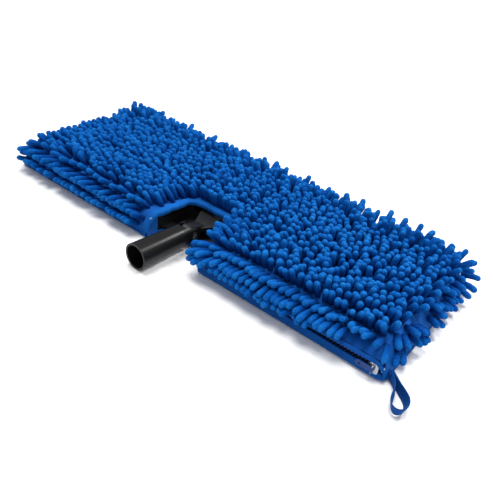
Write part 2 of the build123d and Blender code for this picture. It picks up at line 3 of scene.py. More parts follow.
import bpy
import numpy as np
from mathutils import Matrix, Vector


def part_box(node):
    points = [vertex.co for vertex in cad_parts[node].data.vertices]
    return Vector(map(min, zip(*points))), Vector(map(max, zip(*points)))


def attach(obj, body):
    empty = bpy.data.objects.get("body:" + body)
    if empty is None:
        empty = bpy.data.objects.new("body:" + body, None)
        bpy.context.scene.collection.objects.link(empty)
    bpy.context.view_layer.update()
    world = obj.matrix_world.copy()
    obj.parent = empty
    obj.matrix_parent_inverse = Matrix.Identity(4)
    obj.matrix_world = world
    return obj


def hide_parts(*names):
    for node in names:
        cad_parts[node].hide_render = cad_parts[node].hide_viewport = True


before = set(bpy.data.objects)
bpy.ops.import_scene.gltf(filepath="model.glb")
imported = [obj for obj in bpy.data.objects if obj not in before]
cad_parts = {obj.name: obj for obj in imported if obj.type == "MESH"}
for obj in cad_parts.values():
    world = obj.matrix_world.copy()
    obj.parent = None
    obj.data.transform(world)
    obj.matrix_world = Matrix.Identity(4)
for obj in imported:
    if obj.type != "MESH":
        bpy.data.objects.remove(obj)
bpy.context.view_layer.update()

MM = 0.001  # shapes below are worked out in millimetres


def box_mm(node):
    low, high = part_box(node)
    return np.array(low) / MM, np.array(high) / MM


def smooth(value, start=0.0, end=1.0):
    t = np.clip((np.asarray(value, float) - start) / (end - start), 0, 1)
    return t * t * (3 - 2 * t)


def unit(vectors):
    return vectors / np.linalg.norm(vectors, axis=-1, keepdims=True)


# ------------------------------------------------------------------ sizes taken from the CAD nodes

base_high = box_mm("bottom_panel")[1]
tape_low, tape_high = box_mm("zip_tape_upper")
loop_low, loop_high = box_mm("hanging_loop")

END_X = base_high[0]
SIDE_Y = base_high[1]
TOP_Z = box_mm("top_panel")[1][2]
STRIP_TOP = box_mm("front_hem")[1][2]
LOWER_Y = box_mm("notch_lips")[1][1]  # back edge of the lower notch
CLOTH = 1.2
BASE_CLOTH = 1.0
TRIM_CLOTH = 0.9  # hem and notch walls
HEM_Z = 4.0  # lower edge of the cloth that turns down
ROLL_OUT = 16.0  # how far in from the edge the cloth starts to turn down
ROLL_ARC = 25.9  # length of cloth in that turn
FLAP_Z = box_mm("front_flap")[0][2] - 1.7
FLAP_LIFT = 2.3  # rise of the flap's edge where the zip gapes widest


def zip_gape(x):
    """How far the sleeve's two edges stand apart from the closed zip, along its length."""
    opened = smooth(x, 128, 196)
    small_mouth = 0.45 * np.exp(-(((x - 146) / 7) ** 2))
    closed_end = 0.5 * smooth(x, 214, 226)
    return opened + small_mouth - closed_end


NOTCH_Y = -21.0  # inner end of the notch
NOTCH_HALF = 31.0
NOTCH_TAPER = 0.076  # widening to each side per millimetre towards the front
NOTCH_R = 12.0
DRAWN_BACK = 5.0
DRAWN_OUT = 7.0


def notch_half(y):
    """Half width of the notch at y, with its two round inner corners."""
    depth = np.clip(NOTCH_Y - np.asarray(y, float), 0, None)
    straight = NOTCH_HALF + NOTCH_TAPER * depth
    corner = np.clip(NOTCH_R - depth, 0, NOTCH_R)
    return straight - NOTCH_R + np.sqrt(NOTCH_R**2 - corner**2)


def pulled_in(points):
    """The left half's front edge is drawn back a little, and its front corner is drawn outward."""
    points = np.array(points, float)
    x, y = points[..., 0], points[..., 1]
    left = smooth(-x, 8, 28)
    points[..., 1] = y + DRAWN_BACK * smooth(-y, 52, 84) * left
    points[..., 0] = x - DRAWN_OUT * smooth(-x, 185, 228) * smooth(-y, 20, 87)
    return points


# ------------------------------------------------------------------ materials


def put(socket, value, tree):
    if isinstance(value, bpy.types.NodeSocket):
        tree.links.new(value, socket)
    else:
        socket.default_value = value


def add_node(tree, kind, inputs=(), **settings):
    made = tree.nodes.new(kind)
    for key, value in settings.items():
        setattr(made, key, value)
    for key, value in dict(inputs).items():
        put(made.inputs[key], value, tree)
    return made


def maths(tree, operation, a, b=0.0, c=0.0):
    made = tree.nodes.new("ShaderNodeMath")
    made.operation = operation
    for socket, value in zip(made.inputs, (a, b, c)):
        put(socket, value, tree)
    return made.outputs[0]


def noise(tree, where, scale, detail=3.0, rough=0.55, distortion=0.0):
    inputs = {
        "Vector": where,
        "Scale": scale,
        "Detail": detail,
        "Roughness": rough,
        "Distortion": distortion,
    }
    return add_node(tree, "ShaderNodeTexNoise", inputs).outputs[0]


def stretch(tree, where, scales):
    made = tree.nodes.new("ShaderNodeMapping")
    put(made.inputs["Vector"], where, tree)
    made.inputs["Scale"].default_value = scales
    return made.outputs[0]


def ramp(tree, factor, *stops):
    made = tree.nodes.new("ShaderNodeValToRGB")
    put(made.inputs[0], factor, tree)
    elements = made.color_ramp.elements
    while len(elements) < len(stops):
        elements.new(0.5)
    for element, (place, colour) in zip(elements, stops):
        element.position = place
        element.color = (*colour, 1.0)
    return made.outputs[0]


def bump(tree, height, strength, distance, below=None):
    inputs = {"Height": height, "Strength": strength, "Distance": distance}
    if below is not None:
        inputs["Normal"] = below
    return add_node(tree, "ShaderNodeBump", inputs).outputs[0]


def waves(tree, where, period, direction):
    """Bands across one axis, period metres apart."""
    inputs = {
        "Vector": where,
        "Scale": math.tau / (20 * period),
        "Distortion": 0.4,
        "Detail": 1.0,
    }
    made = add_node(tree, "ShaderNodeTexWave", inputs, bands_direction=direction)
    return made.outputs[1]


def start_material(name):
    material = bpy.data.materials.new(name)
    material.use_nodes = True
    tree = material.node_tree
    shader = tree.nodes["Principled BSDF"]
    where = tree.nodes.new("ShaderNodeTexCoord").outputs["Object"]
    return material, tree, shader, where


def chenille_material(name, dark, middle, light):
    material, tree, shader, where = start_material(name)
    shade = add_node(tree, "ShaderNodeAttribute", attribute_name="shade").outputs["Fac"]
    along = add_node(tree, "ShaderNodeAttribute", attribute_name="along").outputs["Fac"]
    patches = noise(tree, where, 26, 2)
    tufts = noise(tree, where, 620, 3, 0.6)
    fuzz = noise(tree, where, 1900, 2, 0.7)
    tone = maths(tree, "MULTIPLY_ADD", patches, 0.30, -0.15)
    tone = maths(tree, "MULTIPLY_ADD", tufts, 0.75, tone)
    tone = maths(tree, "MULTIPLY_ADD", fuzz, 0.45, tone)
    tone = maths(tree, "MULTIPLY_ADD", shade, 0.14, tone)
    # Painted shade and light: the along term darkens each finger towards its root, where shade falls
    # between the fingers, and lightens it towards its lit tip
    tone = maths(tree, "MULTIPLY_ADD", along, 0.75, tone)
    tone = maths(tree, "SUBTRACT", tone, 0.62)
    colour = ramp(tree, tone, (0.05, dark), (0.50, middle), (0.95, light))
    put(shader.inputs["Base Color"], colour, tree)
    rough = maths(tree, "MULTIPLY_ADD", fuzz, 0.2, 0.75)
    put(shader.inputs["Roughness"], rough, tree)
    shader.inputs["Specular IOR Level"].default_value = 0.05
    shader.inputs["Sheen Weight"].default_value = 0.09
    shader.inputs["Sheen Roughness"].default_value = 0.5
    shader.inputs["Sheen Tint"].default_value = (0.02, 0.45, 1.0, 1.0)
    first = bump(tree, tufts, 1.0, 0.0016)
    put(shader.inputs["Normal"], bump(tree, fuzz, 0.9, 0.0007, first), tree)
    return material


def cloth_material(name, dark, light, period=0.0007, strength=0.5, sheen=0.25, rough=0.72):
    """Woven or knitted cloth: two sets of threads, slubs, soft patches and a nap."""
    material, tree, shader, where = start_material(name)
    warp = waves(tree, where, period, "X")
    weft = waves(tree, where, period * 1.1, "Y")
    rise = waves(tree, where, period * 1.1, "Z")
    weave = maths(tree, "ADD", warp, maths(tree, "ADD", weft, rise))
    weave = maths(tree, "DIVIDE", weave, 3.0)
    patches = noise(tree, where, 34, 3)
    nap = noise(tree, where, 1300, 2, 0.65)
    slubs = noise(tree, stretch(tree, where, (60, 900, 900)), 1.0, 2)
    tone = maths(tree, "MULTIPLY_ADD", patches, 0.55, 0.0)
    tone = maths(tree, "MULTIPLY_ADD", weave, 0.2, tone)
    tone = maths(tree, "MULTIPLY_ADD", nap, 0.25, tone)
    tone = maths(tree, "MULTIPLY_ADD", slubs, 0.15, tone)
    put(shader.inputs["Base Color"], ramp(tree, tone, (0.2, dark), (0.85, light)), tree)
    put(shader.inputs["Roughness"], maths(tree, "MULTIPLY_ADD", nap, 0.2, rough), tree)
    shader.inputs["Specular IOR Level"].default_value = 0.12
    shader.inputs["Sheen Weight"].default_value = sheen
    shader.inputs["Sheen Roughness"].default_value = 0.45
    shader.inputs["Sheen Tint"].default_value = (0.03, 0.45, 1.0, 1.0)
    first = bump(tree, weave, strength, period * 0.4)
    second = bump(tree, slubs, 0.3, 0.0003, first)
    put(shader.inputs["Normal"], bump(tree, nap, 0.35, 0.0003, second), tree)
    return material


def plastic_material(name, dark, light, rough, grain=0.12, gloss=0.32):
    """Moulded plastic: fine spark-eroded grain, faint flow marks and handling marks."""
    material, tree, shader, where = start_material(name)
    fine = noise(tree, where, 2600, 2, 0.6)
    flow = noise(tree, stretch(tree, where, (40, 12, 60)), 1.0, 4, 0.5, 0.6)
    marks = noise(tree, stretch(tree, where, (900, 90, 900)), 1.0, 2)
    tone = maths(tree, "MULTIPLY_ADD", fine, 0.3, maths(tree, "MULTIPLY", flow, 0.7))
    put(shader.inputs["Base Color"], ramp(tree, tone, (0.3, dark), (0.75, light)), tree)
    worn = maths(tree, "MULTIPLY_ADD", flow, 0.16, rough - 0.08)
    worn = maths(tree, "MULTIPLY_ADD", marks, 0.08, worn)
    put(shader.inputs["Roughness"], worn, tree)
    shader.inputs["Specular IOR Level"].default_value = gloss
    first = bump(tree, fine, grain, 0.00012)
    put(shader.inputs["Normal"], bump(tree, marks, 0.06, 0.0001, first), tree)
    return material


def metal_material(name, dark, light, rough, direction):
    """Plated metal: brushed lines along one axis and slightly cloudy plating."""
    material, tree, shader, where = start_material(name)
    brushed = noise(tree, stretch(tree, where, direction), 1.0, 3)
    cloud = noise(tree, where, 180, 3)
    tone = maths(tree, "MULTIPLY_ADD", brushed, 0.4, maths(tree, "MULTIPLY", cloud, 0.6))
    put(shader.inputs["Base Color"], ramp(tree, tone, (0.3, dark), (0.7, light)), tree)
    put(shader.inputs["Roughness"], maths(tree, "MULTIPLY_ADD", cloud, 0.2, rough), tree)
    shader.inputs["Metallic"].default_value = 1.0
    put(shader.inputs["Normal"], bump(tree, brushed, 0.15, 0.0001), tree)
    return material


# The dark end is reached mostly at the fingers' roots as painted shade, the light end mostly at their tips
# as painted light
CHENILLE = chenille_material(
    "chenille_fingers", (0.0002, 0.020, 0.155), (0.0009, 0.082, 0.385), (0.011, 0.195, 0.62)
)
SLEEVE = cloth_material("sleeve_microfibre", (0.0005, 0.032, 0.19), (0.003, 0.095, 0.42))
# A darker copy of the sleeve cloth: painted shade for the hem, the underside and the notch walls, which
# sit low and under the sleeve
HEM = cloth_material("hem_microfibre", (0.0005, 0.028, 0.16), (0.002, 0.080, 0.34))
BINDING = cloth_material(
    "binding_cloth", (0.0008, 0.045, 0.24), (0.004, 0.125, 0.47), 0.0007, 0.9, 0.12, 0.80
)
LOOP = cloth_material(
    "loop_webbing", (0.0004, 0.020, 0.12), (0.002, 0.062, 0.28), 0.0011, 0.9, 0.1, 0.7
)
# Darkened to near black navy as painted shade for the deep slit the zip lies in
TAPE = cloth_material(
    "zip_tape_weave", (0.0006, 0.004, 0.03), (0.001, 0.013, 0.09), 0.0005, 0.6, 0.02, 0.8
)
THREAD = cloth_material(
    "sewing_thread", (0.001, 0.050, 0.26), (0.004, 0.12, 0.50), 0.0003, 0.6, 0.2, 0.6
)
PALE_THREAD = cloth_material(
    "pale_thread", (0.16, 0.24, 0.42), (0.40, 0.50, 0.66), 0.0003, 0.6, 0.2, 0.6
)
# Darkened to navy as painted shade for the deep slit the zip lies in
COIL = plastic_material("nylon_coil", (0.002, 0.012, 0.06), (0.006, 0.03, 0.13), 0.45)
PULL = plastic_material("lacquered_pull", (0.001, 0.020, 0.12), (0.003, 0.05, 0.24), 0.38)
BLACK = plastic_material("black_frame_plastic", (0.002, 0.002, 0.002), (0.008, 0.008, 0.008), 0.40)
SATIN = plastic_material(
    "black_satin_socket", (0.0025, 0.0025, 0.0025), (0.008, 0.008, 0.008), 0.27, 0.12, 0.20
)
# Lighter than the frame plastic: painted light for the plate's top face, which catches the light through
# the notch
PLATE = plastic_material("black_swing_plate", (0.004, 0.004, 0.004), (0.014, 0.014, 0.014), 0.36)
STEEL = metal_material("steel_pin", (0.42, 0.43, 0.45), (0.66, 0.67, 0.69), 0.25, (300, 300, 2500))
ZINC = metal_material("zinc_slider", (0.22, 0.24, 0.30), (0.52, 0.55, 0.60), 0.24, (2500, 400, 400))


def dress(node, material):
    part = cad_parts[node]
    part.data.materials.clear()
    part.data.materials.append(material)


for names, finish in (
    (("frame_lower", "frame_upper", "flip_pin_caps"), BLACK),
    (("pole_socket",), SATIN),
    (("swing_plate",), PLATE),
    (("frame_screws", "pivot_pin", "pivot_washers", "flip_pin"), STEEL),
    (("zip_slider", "zip_stops"), ZINC),
    (("zip_pull",), PULL),
    (("zip_teeth",), COIL),
):
    for node_name in names:
        dress(node_name, finish)

# Moulded edges are slightly round
for node_name, width in (("pole_socket", 0.7), ("swing_plate", 0.5), ("flip_pin_caps", 0.4)):
    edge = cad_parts[node_name].modifiers.new("round_edges", "BEVEL")
    edge.width = width * MM
    edge.segments = 3
    edge.angle_limit = math.radians(38)
    edge.harden_normals = True

# ------------------------------------------------------------------ mesh helpers


def make_piece(name, verts, faces, material):
    """A soft piece of the head, from points in millimetres."""
    mesh = bpy.data.meshes.new(name)
    mesh.from_pydata((np.asarray(verts, float) * MM).tolist(), [], faces)
    mesh.polygons.foreach_set("use_smooth", [True] * len(mesh.polygons))
    mesh.materials.append(material)
    mesh.update()
    piece = bpy.data.objects.new(name, mesh)
    bpy.context.scene.collection.objects.link(piece)
    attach(piece, "head")
    return piece


def grid_faces(rows, columns, closed=False, skip=None):
    faces = []
    for i in range(rows - 1):
        for j in range(columns if closed else columns - 1):
            if skip is not None and skip[i, j]:
                continue
            k = (j + 1) % columns
            low, high = i * columns, (i + 1) * columns
            faces.append((low + j, low + k, high + k, high + j))
    return faces


def thicken(piece, thickness, offset=0.0):
    """Gives a sheet its thickness, centred on the sheet unless offset says otherwise, and smooths it."""
    solid = piece.modifiers.new("thickness", "SOLIDIFY")
    solid.thickness = thickness * MM
    solid.offset = offset
    fine = piece.modifiers.new("fine", "SUBSURF")
    fine.levels = 1
    fine.render_levels = 1
    return piece


def band(name, rows, material, thickness):
    """A strip of cloth through rows of points, an array of (rows, points, 3)."""
    count, across = rows.shape[:2]
    faces = grid_faces(count, across)
    return thicken(make_piece(name, rows.reshape(-1, 3), faces, material), thickness)


# ------------------------------------------------------------------ sleeve cloth

FLAT_X = END_X - ROLL_OUT
FLAT_Y = SIDE_Y - ROLL_OUT
GRID_STEP = 3.4
FRONT_STEP = 3.2
SETTLE_FRAMES = 14
SETTLE_LIMIT = 2.4  # furthest that settling may move the cloth


def spread(start, end, step):
    return np.linspace(start, end, max(2, int(round(abs(end - start) / step)) + 1))


def joined(*runs):
    return np.concatenate([runs[0]] + [run[1:] for run in runs[1:]])


REACH_X = FLAT_X + ROLL_ARC
REACH_Y = FLAT_Y + ROLL_ARC
CORNER_END = NOTCH_Y - NOTCH_R
arc_x = joined(
    spread(-REACH_X, -NOTCH_HALF, GRID_STEP),
    spread(-NOTCH_HALF, NOTCH_HALF, GRID_STEP),
    spread(NOTCH_HALF, REACH_X, GRID_STEP),
)
corner_rows = NOTCH_Y - NOTCH_R * (1 - np.cos(np.linspace(0, math.pi / 2, 7)))
arc_y = joined(
    spread(-REACH_Y, CORNER_END, FRONT_STEP), corner_rows[::-1], spread(NOTCH_Y, REACH_Y, GRID_STEP)
)
LEFT_EDGE = int(np.argmin(abs(arc_x + NOTCH_HALF)))
RIGHT_EDGE = int(np.argmin(abs(arc_x - NOTCH_HALF)))
BACK_EDGE = int(np.argmin(abs(arc_y - NOTCH_Y)))


def rolled(arc, flat):
    """Where cloth at that arc length lies across, and how far round the turn it is, 0 to 1."""
    over = np.clip((np.abs(arc) - flat) / ROLL_ARC, 0, 1)
    place = np.where(over > 0, flat + ROLL_OUT * np.sin(over * math.pi / 2), np.abs(arc))
    return np.sign(arc) * place, over


def lift(over):
    return np.cos(over * math.pi / 2)


def lower_edge(x, share):
    """Height of the turned-down cloth's edge: the hem, and as share nears 1 the flap over the zip."""
    return HEM_Z + (FLAP_Z + FLAP_LIFT * zip_gape(x) - HEM_Z) * share


def beside_notch(x, wanted):
    """Even columns of cloth moved so that the two at the notch's edges stand at its wanted half width."""
    inside = x * wanted / NOTCH_HALF
    stretched = (END_X - wanted) / (END_X - NOTCH_HALF)
    beyond = np.sign(x) * (wanted + (np.abs(x) - NOTCH_HALF) * stretched)
    return np.where(np.abs(x) <= NOTCH_HALF, inside, beyond)


def sleeve_point(ax, ay):
    """The sleeve's outer surface before it is settled."""
    x, over_x = rolled(ax, FLAT_X)
    y, over_y = rolled(ay, FLAT_Y)
    front_right = smooth(x, 0, 20) * (ay < 0) * smooth(over_y) * (1 - smooth(over_x, 0.35, 1.0) * (ax > 0))
    edge = lower_edge(x, front_right)
    z = edge + (TOP_Z - edge) * lift(over_x) * lift(over_y)
    fading = 1 - smooth(y, NOTCH_Y, NOTCH_Y + 26)
    behind = NOTCH_HALF + (notch_half(NOTCH_Y) - NOTCH_HALF) * fading
    x = beside_notch(x, np.where(y < NOTCH_Y, notch_half(y), behind))
    return pulled_in(np.stack([x, y, z], -1))


grid_x, grid_y = np.meshgrid(arc_x, arc_y)
sleeve = sleeve_point(grid_x, grid_y)
ROWS, COLUMNS = grid_x.shape
cut_out = np.zeros((ROWS, COLUMNS), bool)
cut_out[:BACK_EDGE, LEFT_EDGE:RIGHT_EDGE] = True
sleeve_faces = grid_faces(ROWS, COLUMNS, skip=cut_out)


def settled(points, faces, outward, held):
    """The cloth after a short simulation: a little slack, some air under it, its sewn edges held."""
    mesh = bpy.data.meshes.new("settling")
    mesh.from_pydata((points * MM).tolist(), [], faces)
    trial = bpy.data.objects.new("settling", mesh)
    bpy.context.scene.collection.objects.link(trial)
    group = trial.vertex_groups.new(name="held")
    for index, weight in enumerate(held):
        group.add([index], float(weight), "REPLACE")
    cloth = trial.modifiers.new("cloth", "CLOTH")
    cloth.settings.quality = 4
    cloth.settings.mass = 0.2
    cloth.settings.tension_stiffness = 12
    cloth.settings.compression_stiffness = 8
    cloth.settings.bending_stiffness = 0.6
    cloth.settings.shrink_min = -0.018
    cloth.settings.use_pressure = True
    cloth.settings.uniform_pressure_force = 0.9
    cloth.settings.vertex_group_mass = "held"
    cloth.settings.effector_weights.gravity = 0.0
    cloth.collision_settings.use_collision = False
    cloth.point_cache.frame_start = 1
    cloth.point_cache.frame_end = SETTLE_FRAMES
    scene = bpy.context.scene
    for step in range(1, SETTLE_FRAMES + 1):
        scene.frame_set(step)
    shape = trial.evaluated_get(bpy.context.evaluated_depsgraph_get()).data
    moved = np.zeros(len(points) * 3)
    shape.vertices.foreach_get("co", moved)
    shift = moved.reshape(-1, 3) / MM - points
    size = np.linalg.norm(shift, axis=1, keepdims=True)
    shift = shift * np.minimum(1, SETTLE_LIMIT / np.maximum(size, 1e-6))
    inward = np.clip((shift * outward).sum(1, keepdims=True) + 0.3, None, 0)
    shift = shift - inward * outward
    scene.frame_set(1)
    bpy.data.objects.remove(trial)
    bpy.data.meshes.remove(mesh)
    return points + shift * (1 - held[:, None])


from_edge_x = REACH_X - np.abs(grid_x)
from_edge_y = REACH_Y - np.abs(grid_y)
notch_gap = np.maximum(np.abs(sleeve[..., 0]) - notch_half(sleeve[..., 1]), sleeve[..., 1] - NOTCH_Y)
held = np.maximum(1 - smooth(np.minimum(from_edge_x, from_edge_y), 0, 7), 1 - smooth(notch_gap, 8, 18))


def grid_normals(points):
    return unit(np.cross(np.gradient(points, axis=1), np.gradient(points, axis=0)))


outward = grid_normals(sleeve).reshape(-1, 3)
shape = settled(sleeve.reshape(-1, 3), sleeve_faces, outward, held.reshape(-1))
sleeve = shape.reshape(sleeve.shape)
sleeve_normal = grid_normals(sleeve)


def on_sleeve(ax, ay, field):
    """A field on the sleeve's grid, read at arc lengths ax and ay."""
    column = np.clip(np.interp(ax, arc_x, np.arange(COLUMNS)), 0, COLUMNS - 1.001)
    row = np.clip(np.interp(ay, arc_y, np.arange(ROWS)), 0, ROWS - 1.001)
    c, r = column.astype(int), row.astype(int)
    u, v = (column - c)[..., None], (row - r)[..., None]
    low = field[r, c] * (1 - u) + field[r, c + 1] * u
    high = field[r + 1, c] * (1 - u) + field[r + 1, c + 1] * u
    return low * (1 - v) + high * v


sleeve_top = make_piece("sleeve_top", sleeve.reshape(-1, 3), sleeve_faces, SLEEVE)
thicken(sleeve_top, CLOTH, -1.0)
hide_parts("top_panel", "side_band", "front_flap")

# ------------------------------------------------------------------ underside

BASE_STEP = 6


def underside():
    """The bottom panel, with the lower notch cut out and slight waves in the cloth."""
    xs = joined(
        spread(-END_X, -NOTCH_HALF, BASE_STEP),
        spread(-NOTCH_HALF, NOTCH_HALF, BASE_STEP),
        spread(NOTCH_HALF, END_X, BASE_STEP),
    )
    ys = joined(spread(-SIDE_Y, LOWER_Y, BASE_STEP / 2), spread(LOWER_Y, SIDE_Y, BASE_STEP))
    x, y = np.meshgrid(xs, ys)
    wanted = NOTCH_HALF + NOTCH_TAPER * np.clip(NOTCH_Y - y, 0, None)
    near = np.minimum(END_X - np.abs(x), SIDE_Y - np.abs(y))
    z = 0.7 + 1.0 * (1 - smooth(near, 0, 5)) + 0.25 * np.sin(x / 13) * np.sin(y / 11) * smooth(near, 4, 20)
    left = int(np.argmin(abs(xs + NOTCH_HALF)))
    right = int(np.argmin(abs(xs - NOTCH_HALF)))
    back = int(np.argmin(abs(ys - LOWER_Y)))
    skip = np.zeros(x.shape, bool)
    skip[:back, left:right] = True
    verts = pulled_in(np.stack([beside_notch(x, wanted), y, z], -1)).reshape(-1, 3)
    return verts, grid_faces(*x.shape, skip=skip)


base_verts, base_faces = underside()
sleeve_base = make_piece("sleeve_base", base_verts, base_faces, HEM)
thicken(sleeve_base, BASE_CLOTH)
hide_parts("bottom_panel")


# ------------------------------------------------------------------ hem round the bottom edge


def outline(inset, corner, step):
    """Points anticlockwise round the sleeve's edge from the notch's right lip to its left lip."""
    x, y = END_X - inset, SIDE_Y - inset
    lip = notch_half(-SIDE_Y) + 0.4
    right_run = spread(lip, x - corner, step)
    points = [np.stack([right_run, np.full(len(right_run), -y)], -1)]
    quarter = np.linspace(0, math.pi / 2, 5)
    for corner_index, (side_x, side_y) in enumerate(((1, -1), (1, 1), (-1, 1), (-1, -1))):
        turn = quarter + (corner_index - 1) * math.pi / 2
        centre_x, centre_y = side_x * (x - corner), side_y * (y - corner)
        points.append(np.stack([centre_x + corner * np.cos(turn), centre_y + corner * np.sin(turn)], -1))
    left_run = spread(corner - x, -lip, step)
    points.append(np.stack([left_run, np.full(len(left_run), -y)], -1))
    return resample(np.concatenate(points), step)


def resample(points, step):
    gaps = np.linalg.norm(np.diff(points, axis=0), axis=1)
    keep = np.concatenate([[True], gaps > 1e-6])
    points = points[keep]
    run = np.concatenate([[0], np.cumsum(np.linalg.norm(np.diff(points, axis=0), axis=1))])
    at = spread(0, run[-1], step)
    return np.stack([np.interp(at, run, points[:, k]) for k in range(points.shape[1])], -1)


def sideways(path):
    """Unit vectors to the right of a path in the XY plane."""
    along = unit(np.gradient(path[:, :2], axis=0))
    return np.stack([along[:, 1], -along[:, 0]], -1)


def swept(path, profile):
    """Rows of points: profile's (out, up) pairs carried along a path, out being to its right."""
    out = sideways(path)
    rows = []
    for across, up in profile:
        rows.append(np.column_stack([path[:, :2] + out * across, np.full(len(path), up)]))
    return np.stack(rows, 1)


HEM_LOW = 0.7
HEM_ABOVE = 1.1  # how far the hem stands above the sleeve's edge
HEM_PROFILE = (  # share of the height, and how far out the cloth bulges there
    (0.0, -1.6),
    (0.04, 0.3),
    (0.2, 1.1),
    (0.4, 1.4),
    (0.6, 0.9),
    (0.8, 0.35),
    (0.97, 0.15),
    (1.0, -0.3),
)
hem_path = outline(inset=0.6, corner=4.0, step=4.0)
on_front_right = (hem_path[:, 1] < -SIDE_Y + 3) & (hem_path[:, 0] > 0)
strip_top = STRIP_TOP + 2.0 - 1.3 * zip_gape(hem_path[:, 0])
hem_top = np.where(on_front_right, strip_top, HEM_Z + HEM_ABOVE)
corner_ease = smooth(hem_path[:, 0], END_X - 9, END_X - 1)
hem_top = hem_top + (HEM_Z + HEM_ABOVE - hem_top) * corner_ease * on_front_right
hem_step = np.arange(len(hem_path))
waver = 0.35 * np.sin(hem_step * 0.45) + 0.25 * np.sin(hem_step * 1.3)
hem_out = sideways(hem_path)
hem_rows = []
for share, bulge in HEM_PROFILE:
    level = HEM_LOW + (hem_top - HEM_LOW) * share
    bulged = bulge + waver * math.sin(share * math.pi) ** 2 * (1 - share)
    row = np.column_stack([hem_path + hem_out * np.asarray(bulged)[..., None], level])
    hem_rows.append(pulled_in(row))
sleeve_hem = band("sleeve_hem", np.stack(hem_rows, 1), HEM, TRIM_CLOTH)
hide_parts("front_hem")

# ------------------------------------------------------------------ notch binding and walls

RIM_STEP = 2.2
RIM_PROFILE = (  # how far into the notch, and how far above the cloth
    (-7.0, 0.1),
    (-6.4, 0.7),
    (-4.6, 1.1),
    (-2.4, 1.4),
    (-0.6, 1.2),
    (0.5, 0.4),
    (0.8, -0.8),
    (0.6, -2.2),
    (0.2, -3.4),
)


def notch_path():
    """Points round the notch's upper edge, from the left lip to the right lip."""
    ys = np.linspace(-SIDE_Y, CORNER_END, 28)
    turn = np.linspace(0, math.pi / 2, 9)
    left = [(-notch_half(y), y) for y in ys]
    inner = NOTCH_HALF + NOTCH_TAPER * NOTCH_R - NOTCH_R
    left += [(-inner - NOTCH_R * math.cos(t), CORNER_END + NOTCH_R * math.sin(t)) for t in turn]
    right = [(-x, y) for x, y in reversed(left)]
    return resample(np.array(left + right, float), RIM_STEP)


def sleeve_height(x, y):
    """Height of the sleeve's outer surface over points of the plan near the notch."""
    over = np.arcsin(np.clip((np.abs(y) - FLAT_Y) / ROLL_OUT, 0, 1)) / (math.pi / 2)
    edge = lower_edge(x, smooth(x, 0, 20) * smooth(over))
    return edge + (TOP_Z - edge) * lift(over)


rim = notch_path()
rim_in = sideways(rim)
rim_rows = []
rim_count = np.arange(len(rim))
ripple = 0.7 * np.sin(rim_count * 0.63) + 0.35 * np.sin(rim_count * 1.37 + 1)
ripple = ripple + 0.25 * np.sin(rim_count * 2.3 + 2)
rim_height = sleeve_height(rim[:, 0], rim[:, 1])
for across, up in RIM_PROFILE:
    spot = rim + rim_in * (across + 0.55 * ripple)[:, None]
    height = sleeve_height(spot[:, 0], np.clip(spot[:, 1], -SIDE_Y, None))
    level = np.where(across < 0, height, rim_height)
    low = np.maximum(level + up + 0.3 * np.roll(ripple, 3), 1.8)
    rim_rows.append(pulled_in(np.column_stack([spot, low])))
binding_top = band("notch_binding_band", np.stack(rim_rows, 1), BINDING, 0.7)
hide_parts("notch_binding_top")


def wall_rows(side):
    """The notch's wall on one side, from the bottom panel up to the binding."""
    ys = spread(-SIDE_Y + 0.5, LOWER_Y - 11, 2)
    rows = []
    for share in np.linspace(0, 1, 6):
        x = side * (notch_half(ys) + 0.2 - 0.9 * math.sin(share * math.pi))
        top = sleeve_height(x, ys) - 3.5
        rows.append(pulled_in(np.column_stack([x, ys, 1.0 + (np.maximum(top, 1.5) - 1.0) * share])))
    return np.stack(rows, 1)


# The walls use the darker hem cloth as painted shade
lip_left = band("notch_lip_left", wall_rows(-1), HEM, TRIM_CLOTH)
lip_right = band("notch_lip_right", wall_rows(1), HEM, TRIM_CLOTH)
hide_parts("notch_lips")

lower_half = NOTCH_HALF + NOTCH_TAPER * (NOTCH_Y - LOWER_Y)
lower_run = spread(-lower_half, lower_half, 3)
lower_path = np.column_stack([lower_run, np.full(len(lower_run), LOWER_Y)])
folded_edge = ((-4.0, 1.3), (-1.0, 1.9), (0.6, 2.2), (1.2, 1.4), (0.8, 0.4), (-3.5, 0.3))
lower_rows = swept(lower_path, folded_edge)
binding_low = band("notch_binding_lower", lower_rows, BINDING, 0.5)
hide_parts("notch_binding_bottom")

# ------------------------------------------------------------------ zip tapes


def tape_rows(low, high):
    """An upright strip of tape between two heights, with a slight ripple along it."""
    xs = spread(tape_low[0], tape_high[0], 4)
    y = (tape_low[1] + tape_high[1]) / 2 + 0.08 * np.sin(xs * 0.9)
    rows = []
    for share in (0.0, 0.35, 0.7, 1.0):
        rows.append(np.column_stack([xs, y, np.full(len(xs), low + (high - low) * share)]))
    return np.stack(rows, 1)


for node_name in ("zip_tape_lower", "zip_tape_upper"):
    low, high = box_mm(node_name)
    tape = band(node_name + "_woven", tape_rows(low[2], high[2]), TAPE, 0.4)
    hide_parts(node_name)

# ------------------------------------------------------------------ hanging loop

LOOP_ROOT = np.array([END_X + 0.6, -77.5])
LOOP_TIP = np.array([loop_high[0] - 4.5, loop_low[1] + 5.5])
LOOP_HALF = 5.0  # half the width of the tape


